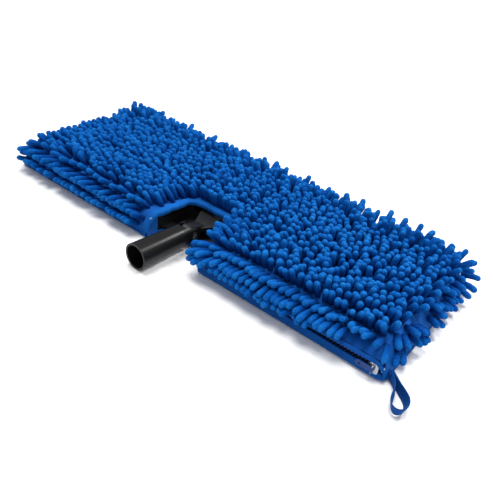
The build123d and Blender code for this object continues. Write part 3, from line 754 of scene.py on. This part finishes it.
def loop_path():
    """Centre line of the tape: a double strap off the sleeve's side that opens round a drop-shaped eye."""
    reach = np.linalg.norm(LOOP_TIP - LOOP_ROOT)
    ahead = (LOOP_TIP - LOOP_ROOT) / reach
    side = np.array([ahead[1], -ahead[0]])
    leg = ((0.0, 0.7), (0.16, 0.9), (0.34, 1.2), (0.52, 3.6), (0.70, 6.2), (0.88, 5.8), (0.98, 2.8))
    out = [LOOP_ROOT + ahead * reach * far + side * half for far, half in leg]
    home = [LOOP_ROOT + ahead * reach * far - side * half for far, half in reversed(leg)]
    curved = resample(np.array(out + [LOOP_TIP] + home), 1.6)
    for _ in range(6):
        curved[1:-1] = (curved[:-2] + 2 * curved[1:-1] + curved[2:]) / 4
    swing = np.linalg.norm(curved - LOOP_ROOT, axis=1) / reach
    bend = 3.4 * np.sin(np.clip(swing, 0, 1) * math.pi)
    return curved - side * bend[:, None]


loop_line = loop_path()
loop_side = sideways(loop_line)
loop_share = np.linspace(0, 1, len(loop_line))
loop_rows = []
for level in np.linspace(-1, 1, 6):
    tilt = 0.30 * np.sin(loop_share * math.pi) * level
    half = LOOP_HALF * np.cos(tilt)
    centre_z = LOOP_HALF + 0.2 + 0.2 * np.sin(loop_share * math.tau)
    lean = LOOP_HALF * np.sin(tilt)
    rows = np.column_stack([loop_line + loop_side * lean[:, None], centre_z + level * half])
    loop_rows.append(rows)
hanging_loop = band("hanging_loop_tape", np.stack(loop_rows, 1), LOOP, 1.1)
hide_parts("hanging_loop")


# ------------------------------------------------------------------ stitching


STITCH_GAP = 0.7
STITCH_PITCH = 3.0


def stitches(name, starts, ends, radius, material):
    """A row of sewn stitches: short threads that dip into the cloth at both ends."""
    rings, around = 7, 6
    share = np.linspace(0, 1, rings)
    along = ends - starts
    forward = unit(along)
    up = np.zeros_like(forward)
    up[:, 2] = 1
    side = unit(np.cross(forward, up) + 1e-9)
    rise = unit(np.cross(side, forward))
    verts, faces = [], []
    for s in share:
        centre = starts + along * s - rise * (radius * 1.1 * (2 * s - 1) ** 4)
        girth = radius * (0.45 + 0.55 * math.sin(math.pi * (0.08 + 0.84 * s)))
        for k in range(around):
            angle = math.tau * k / around
            verts.append(centre + side * (girth * math.cos(angle)) + rise * (girth * math.sin(angle)))
    stack = np.stack(verts, 1)
    count = len(starts)
    for stitch in range(count):
        base = stitch * rings * around
        for ring in range(rings - 1):
            for k in range(around):
                n = (k + 1) % around
                a = base + ring * around
                faces.append((a + k, a + n, a + around + n, a + around + k))
    return make_piece(name, stack.reshape(-1, 3), faces, material)


def stitch_row(points):
    """Starts and ends of even stitches along a line, with small gaps between them."""
    even = resample(points, STITCH_PITCH)
    step = even[1:] - even[:-1]
    half_gap = STITCH_GAP / STITCH_PITCH / 2
    return even[:-1] + step * half_gap, even[1:] - step * half_gap


def above_rim(across):
    """A line on the binding, that far from the notch's edge."""
    spot = rim + rim_in * across
    keep = rim[:, 1] > -SIDE_Y + 5
    z = sleeve_height(spot[:, 0], np.clip(spot[:, 1], -SIDE_Y, None)) + 1.2
    return pulled_in(np.column_stack([spot, z]))[keep]


rim_stitches = stitches("binding_stitches", *stitch_row(above_rim(-5.4)), 0.24, THREAD)

flap_run = spread(NOTCH_HALF + 9, FLAT_X + 8, 3.0)
flap_line = np.full(len(flap_run), -REACH_Y + 2.6)
flap_row = on_sleeve(flap_run, flap_line, sleeve)
flap_out = on_sleeve(flap_run, flap_line, sleeve_normal)
flap_stitches = stitches("flap_stitches", *stitch_row(flap_row + flap_out * 0.08), 0.22, THREAD)

strip_run = hem_path[on_front_right & (hem_path[:, 0] < END_X - 10)]
strip_level = box_mm("zip_slider")[0][2] - 1.2  # just below the slider's path
strip_line = np.column_stack([strip_run + np.array([0.0, -1.5]), np.full(len(strip_run), strip_level)])
strip_stitches = stitches("strip_stitches", *stitch_row(strip_line), 0.22, THREAD)


def tack_rows():
    """Close crosswise stitches up the loop's bar tack."""
    low, high = box_mm("loop_bar_tack")
    starts, ends = [], []
    for share in np.linspace(0.06, 0.94, 9):
        z = low[2] + (high[2] - low[2]) * share
        starts.append((high[0] - 0.4, low[1] + 0.1, z + 0.2))
        ends.append((high[0] - 0.4, high[1] - 0.1, z - 0.2))
    return np.array(starts), np.array(ends)


loop_tack = stitches("loop_tack_stitches", *tack_rows(), 0.42, THREAD)
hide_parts("loop_bar_tack")

lip_tack = stitches(
    "lip_tack_stitches",
    np.array([(-NOTCH_HALF - 4.0, -SIDE_Y + 9.0 + k, TOP_Z - 2.1) for k in range(3)]),
    np.array([(-NOTCH_HALF - 5.8, -SIDE_Y + 9.4 + k, TOP_Z - 1.7) for k in range(3)]),
    0.3,
    PALE_THREAD,
)

# ------------------------------------------------------------------ chenille fingers

rng = np.random.default_rng(18)
PITCH = 6.3
ROW_PITCH = 7.3
FIRST_MARGIN = 6.0  # from the front and left edges to the first fingers, before they are shaken
LAST_MARGIN = 5.0  # least distance to the other two edges, before they are shaken
SHAKE_X = 0.72
SHAKE_Y = 0.48
FINGER_R = 2.95
FINGER_LONG = 16.6
AROUND = 10  # points round a finger
LOWEST = 0.9  # no finger reaches below this height


def finger_roots():
    """Arc-length places of the fingers: staggered rows along X."""
    places = []
    row = 0
    for ay in np.arange(-REACH_Y + FIRST_MARGIN, REACH_Y - LAST_MARGIN, ROW_PITCH):
        shift = PITCH / 2 * (row % 2)
        xs = np.arange(-REACH_X + FIRST_MARGIN + shift, REACH_X - LAST_MARGIN, PITCH)
        places.append(np.column_stack([xs, np.full(len(xs), ay)]))
        row += 1
    return np.concatenate(places)


def turned(places, flat):
    """How far round the sleeve's turn-down a place is, from 0 at its start to 1 at the cloth's edge."""
    return np.clip((np.abs(places) - flat) / ROLL_ARC, 0, 1)


def standing(roots, spots, chance):
    """Which of the evenly spaced fingers are there; chance is a random number for each."""
    ax, ay = roots[:, 0], roots[:, 1]
    over_x, over_y = turned(ax, FLAT_X), turned(ay, FLAT_Y)
    left, front = ax < 0, ay < 0
    # The binding is bare, but at the right lip the fingers stand close to it
    gap = np.maximum(np.abs(spots[:, 0]) - notch_half(spots[:, 1]), spots[:, 1] - NOTCH_Y)
    right_lip = (ax > NOTCH_HALF) & (ay < NOTCH_Y - 2)
    keep = gap > np.where(right_lip, 3.0, 8.0)
    keep &= ~((np.abs(ax) < NOTCH_HALF) & (ay < NOTCH_Y + 8.5))
    # The flap over the zip is bare, and more of it towards the right end
    bare_flap = -FLAT_Y - 17.0 + 13.5 * smooth(ax, 130, 210)
    keep &= ~(~left & (ay < bare_flap))
    # The left front has a bare lower edge and corner, and its front rows are half as dense
    keep &= ~(left & front & (over_y > 0.785))
    keep &= ~(left & front & (over_x + over_y > 0.90))
    every_other = np.arange(len(roots)) % 2 == 0
    keep &= ~(left & (ay < -60) & (over_y < 0.45) & every_other)
    # The back, the two ends and the corners are bare towards the cloth's edge
    keep &= ~(~front & (over_y > 0.62))
    keep &= ~(left & (over_x > np.where(ay < -45, 0.46, 0.74)))
    keep &= ~(~left & (over_x > 0.70))
    keep &= (over_x + over_y) < 1.05
    # The right end is sparse, more so at the front
    keep &= ~(~left & (over_x > 0.12) & (chance < 0.30))
    keep &= ~(~left & front & (over_x > 0.0) & (over_x < 0.14) & (chance < 0.45))
    near_corner = ~left & (over_x > 0.0) & (ay < -FLAT_Y + 16)
    keep &= ~(near_corner & (chance < 0.20))
    return keep


roots = finger_roots()
roots = roots + rng.uniform(-1, 1, roots.shape) * np.array([SHAKE_X, SHAKE_Y])
spots = on_sleeve(roots[:, 0], roots[:, 1], sleeve)
keep = standing(roots, spots, rng.random(len(roots)))
roots, spots = roots[keep], spots[keep]
over_x, over_y = turned(roots[:, 0], FLAT_X), turned(roots[:, 1], FLAT_Y)
normals = unit(on_sleeve(roots[:, 0], roots[:, 1], sleeve_normal))
x, y = spots[:, 0], spots[:, 1]
count = len(roots)
left_half = roots[:, 0] < 0
front_half = roots[:, 1] < 0

# Zones of the pile, each 1 inside and fading to 0 outside
far_corner = smooth(-x, 150, 205) * smooth(y, 45, 75)
left_of_notch = np.exp(-(((x + NOTCH_HALF + 16) / 16) ** 2)) * (y < NOTCH_Y)
right_of_notch = np.exp(-(((x - NOTCH_HALF - 12) / 10) ** 2)) * (y < NOTCH_Y)
front_row = smooth(-y, 62, 74) * front_half
back_row = smooth(y, 48, 72)
lower = smooth(over_y, 0.35, 0.5) * front_half * left_half
on_flap = smooth(over_y, 0.36, 0.60) * front_half * ~left_half
upper_row = front_row * (1 - lower)
end_row = smooth(over_x, 0.0, 0.4)
left_end = smooth(over_x, 0.0, 0.3) * left_half
right_end = smooth(over_x, 0.0, 0.3) * ~left_half
outer = smooth(over_x, 0.35, 0.65) * ~left_half
corner_drop = smooth(over_x, 0.02, 0.2) * smooth(-y, 35, 60) * ~left_half

# Fingers lean left except near the right end, most over the notch's right lip, and forward at the front
lean = np.zeros((count, 3))
across_x = (-228, -150, -40, 60, 120, 190, 228)
across_y = (-87, -70, -58, 0, 60, 87)
lean[:, 0] = np.interp(x, across_x, (-0.85, -0.46, -0.28, -0.12, -0.04, 0.10, 0.30))
lean[:, 1] = np.interp(y, across_y, (-0.6, -0.5, -0.12, -0.05, 0.10, 0.32))
lean[:, 0] += 0.7 * far_corner
lean[:, 0] += -0.35 * left_of_notch - 1.15 * right_of_notch
lean[:, 0] += np.where(left_half, -0.35, -0.25) * front_row * (over_x < 0.1)
lean[:, 1] += np.where(left_half, -0.70, -1.3) * front_row
lean += rng.normal(0, 0.095, (count, 3)) * np.array([1, 1, 0])
heading = unit(normals + lean)

outward_lean = np.array([0.8, -0.25, -0.10])
downward_lean = np.array([-0.25, -1.1, -0.3])
lifting_lean = np.array([-0.25, -0.2, 0.35])
heading = unit(heading + outward_lean * right_end[:, None])
heading = unit(heading + downward_lean * corner_drop[:, None] + lifting_lean * lower[:, None])

# Each finger bends down a little, most where it hangs over an edge
droop = np.zeros((count, 3))
droop[:, 2] = -0.10 - 0.45 * upper_row - 0.30 * end_row - 0.20 * right_end - 0.35 * on_flap
droop[:, :2] = heading[:, :2] * 0.22 + rng.normal(0, 0.12, (count, 2))

# Long at the front edge and the back, short on the flap and at the ends
front_long = np.where(left_half, 4.5, 3.0)
length = FINGER_LONG + front_long * upper_row - 3.2 * lower - 8.5 * on_flap + end_row + 4.5 * back_row
length = length - 4.2 * right_end - 4.0 * left_end - 1.4 * outer + 2.0 * far_corner + 2.5 * right_of_notch
length = length + rng.normal(0, 1.0, count) * (1 + back_row)
stray = (rng.random(count) < 0.09) & (y > 60)
length = length + 3.5 * stray
radius = FINGER_R * (1 + rng.normal(0, 0.05, count))
shade = np.clip(rng.normal(0, 0.5, count), -1, 1)


def finger_mesh(name, pick):
    """One piece of many fingers: uneven tubes with round tips that curve as they droop."""
    rings = np.array([0.0, 0.12, 0.27, 0.43, 0.59, 0.74])
    tips = np.radians([0, 28, 52, 72, 84])
    n = int(pick.sum())
    p0, d, b = spots[pick], heading[pick], droop[pick]
    long, fat = length[pick], radius[pick]
    start = 1 - fat / long
    along_tube = rings[None, :] * start[:, None] / 0.9
    along_tip = start[:, None] + (fat / long)[:, None] * np.sin(tips)[None, :]
    ring_s = np.concatenate([along_tube, along_tip], 1)
    girth = np.concatenate(
        [np.tile(0.86 + 0.14 * smooth(rings, 0, 0.3), (n, 1)), np.tile(np.cos(tips), (n, 1))], 1
    )
    count_rings = ring_s.shape[1]
    curve = d[:, None] * ring_s[..., None] + 0.5 * b[:, None] * ring_s[..., None] ** 2
    centre = p0[:, None] + long[:, None, None] * curve
    tangent = unit(d[:, None] + b[:, None] * ring_s[..., None])
    helper = np.tile(np.array([0.31, 0.77, 0.55]), (n, 1)) + rng.normal(0, 0.3, (n, 3))
    side = unit(helper[:, None] - (helper[:, None] * tangent).sum(-1, keepdims=True) * tangent)
    other = np.cross(tangent, side)
    angle = np.linspace(0, math.tau, AROUND, endpoint=False)
    wobble = 1 + 0.05 * rng.normal(0, 1, (n, count_rings, AROUND))
    wobble[:, -2:] = 1
    r = (fat[:, None] * girth)[..., None] * wobble
    verts = (
        centre[:, :, None]
        + side[:, :, None] * (r * np.cos(angle))[..., None]
        + other[:, :, None] * (r * np.sin(angle))[..., None]
    )
    verts = verts.reshape(n, -1, 3)
    pole = centre[:, -1] + tangent[:, -1] * (fat * (1 - math.sin(tips[-1])))[:, None]
    verts = np.concatenate([verts, pole[:, None]], 1)
    verts[..., 2] = np.maximum(verts[..., 2], LOWEST)
    each = verts.shape[1]
    quads = np.array(grid_faces(count_rings, AROUND, closed=True))
    last = (count_rings - 1) * AROUND
    caps = [(last + k, last + (k + 1) % AROUND, each - 1) for k in range(AROUND)]
    offsets = np.arange(n) * each
    faces = (quads[None] + offsets[:, None, None]).reshape(-1, 4).tolist()
    faces += (np.array(caps)[None] + offsets[:, None, None]).reshape(-1, 3).tolist()
    piece = make_piece(name, verts.reshape(-1, 3), faces, CHENILLE)
    tone = np.repeat(shade[pick], each)
    # along runs from 0 at a finger's root to 1 at its tip; the chenille material uses it for painted shade
    # at the roots and painted light at the tips
    run = np.concatenate([np.repeat(ring_s, AROUND, axis=1), np.ones((n, 1))], 1)
    for key, values in (("shade", tone), ("along", run.reshape(-1))):
        attribute = piece.data.attributes.new(key, "FLOAT", "POINT")
        attribute.data.foreach_set("value", values.astype(np.float32))
    return piece


QUARTER = 114  # the pile is four pieces side by side
left_part = x < -QUARTER
middle_left = (x >= -QUARTER) & (x < 0)
middle_right = (x >= 0) & (x < QUARTER)
right_part = x >= QUARTER
finger_pieces = [
    finger_mesh("chenille_far_left", left_part),
    finger_mesh("chenille_left", middle_left),
    finger_mesh("chenille_right", middle_right),
    finger_mesh("chenille_far_right", right_part),
]
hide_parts("chenille_pile")

# ------------------------------------------------------------------ floor, light and camera


def floor():
    mesh = bpy.data.meshes.new("floor")
    half = 4.0
    corners = [(-half, -half, 0), (half, -half, 0), (half, half, 0), (-half, half, 0)]
    mesh.from_pydata(corners, [], [(0, 1, 2, 3)])
    material, tree, shader, where = start_material("floor_paper")
    tone = noise(tree, where, 5, 2)
    colour = ramp(tree, tone, (0.3, (0.90, 0.90, 0.90)), (0.7, (0.93, 0.93, 0.93)))
    put(shader.inputs["Base Color"], colour, tree)
    shader.inputs["Roughness"].default_value = 0.85
    shader.inputs["Specular IOR Level"].default_value = 0.1
    mesh.materials.append(material)
    ground = bpy.data.objects.new("floor", mesh)
    ground.location = (0, 0, -0.0004)
    bpy.context.scene.collection.objects.link(ground)


def area_light(name, place, aim, size, power):
    data = bpy.data.lights.new(name, "AREA")
    data.shape = "DISK"
    data.size = size
    data.energy = power
    lamp = bpy.data.objects.new(name, data)
    lamp.location = place
    lamp.rotation_euler = (Vector(aim) - Vector(place)).to_track_quat("-Z", "Y").to_euler()
    bpy.context.scene.collection.objects.link(lamp)


floor()
sun = bpy.data.lights.new("key", "SUN")
sun.energy = 3.0
sun.angle = math.radians(34)
key = bpy.data.objects.new("key", sun)
key.rotation_euler = Vector((0.25, -0.10, -1.0)).to_track_quat("-Z", "Y").to_euler()
bpy.context.scene.collection.objects.link(key)
area_light("fill", (0.9, -0.8, 0.9), (0.1, -0.05, 0), 0.7, 3)
area_light("back", (0.36, 0.68, 0.74), (0, -0.08, 0), 0.15, 7)

world = bpy.data.worlds.new("studio")
world.use_nodes = True
world.node_tree.nodes["Background"].inputs["Color"].default_value = (1, 1, 1, 1)
world.node_tree.nodes["Background"].inputs["Strength"].default_value = 0.42
bpy.context.scene.world = world
bpy.context.scene.view_settings.view_transform = "Standard"


CAMERA_AZIMUTH = math.radians(33.6)
CAMERA_ELEVATION = math.radians(33.55)
CAMERA_ROLL = math.radians(8.5)
CAMERA_DISTANCE = 595.3
CAMERA_TARGET = Vector((40.6, -19.3, 0.7))
CAMERA_LENS = 43.81


def camera():
    data = bpy.data.cameras.new("camera")
    data.sensor_width = 36
    data.lens = CAMERA_LENS
    data.clip_start = 0.01
    azimuth, elevation, roll = CAMERA_AZIMUTH, CAMERA_ELEVATION, CAMERA_ROLL
    level = math.cos(elevation)
    back = Vector((math.sin(azimuth) * level, -math.cos(azimuth) * level, math.sin(elevation)))
    right = Vector((math.cos(azimuth), math.sin(azimuth), 0))
    up = back.cross(right)
    across = right * math.cos(roll) + up * math.sin(roll)
    upright = up * math.cos(roll) - right * math.sin(roll)
    place = CAMERA_TARGET * MM + back * CAMERA_DISTANCE * MM
    turn = Matrix((across, upright, back)).transposed().to_4x4()
    eye = bpy.data.objects.new("camera", data)
    eye.matrix_world = Matrix.Translation(place) @ turn
    bpy.context.scene.collection.objects.link(eye)
    bpy.context.scene.camera = eye


camera()
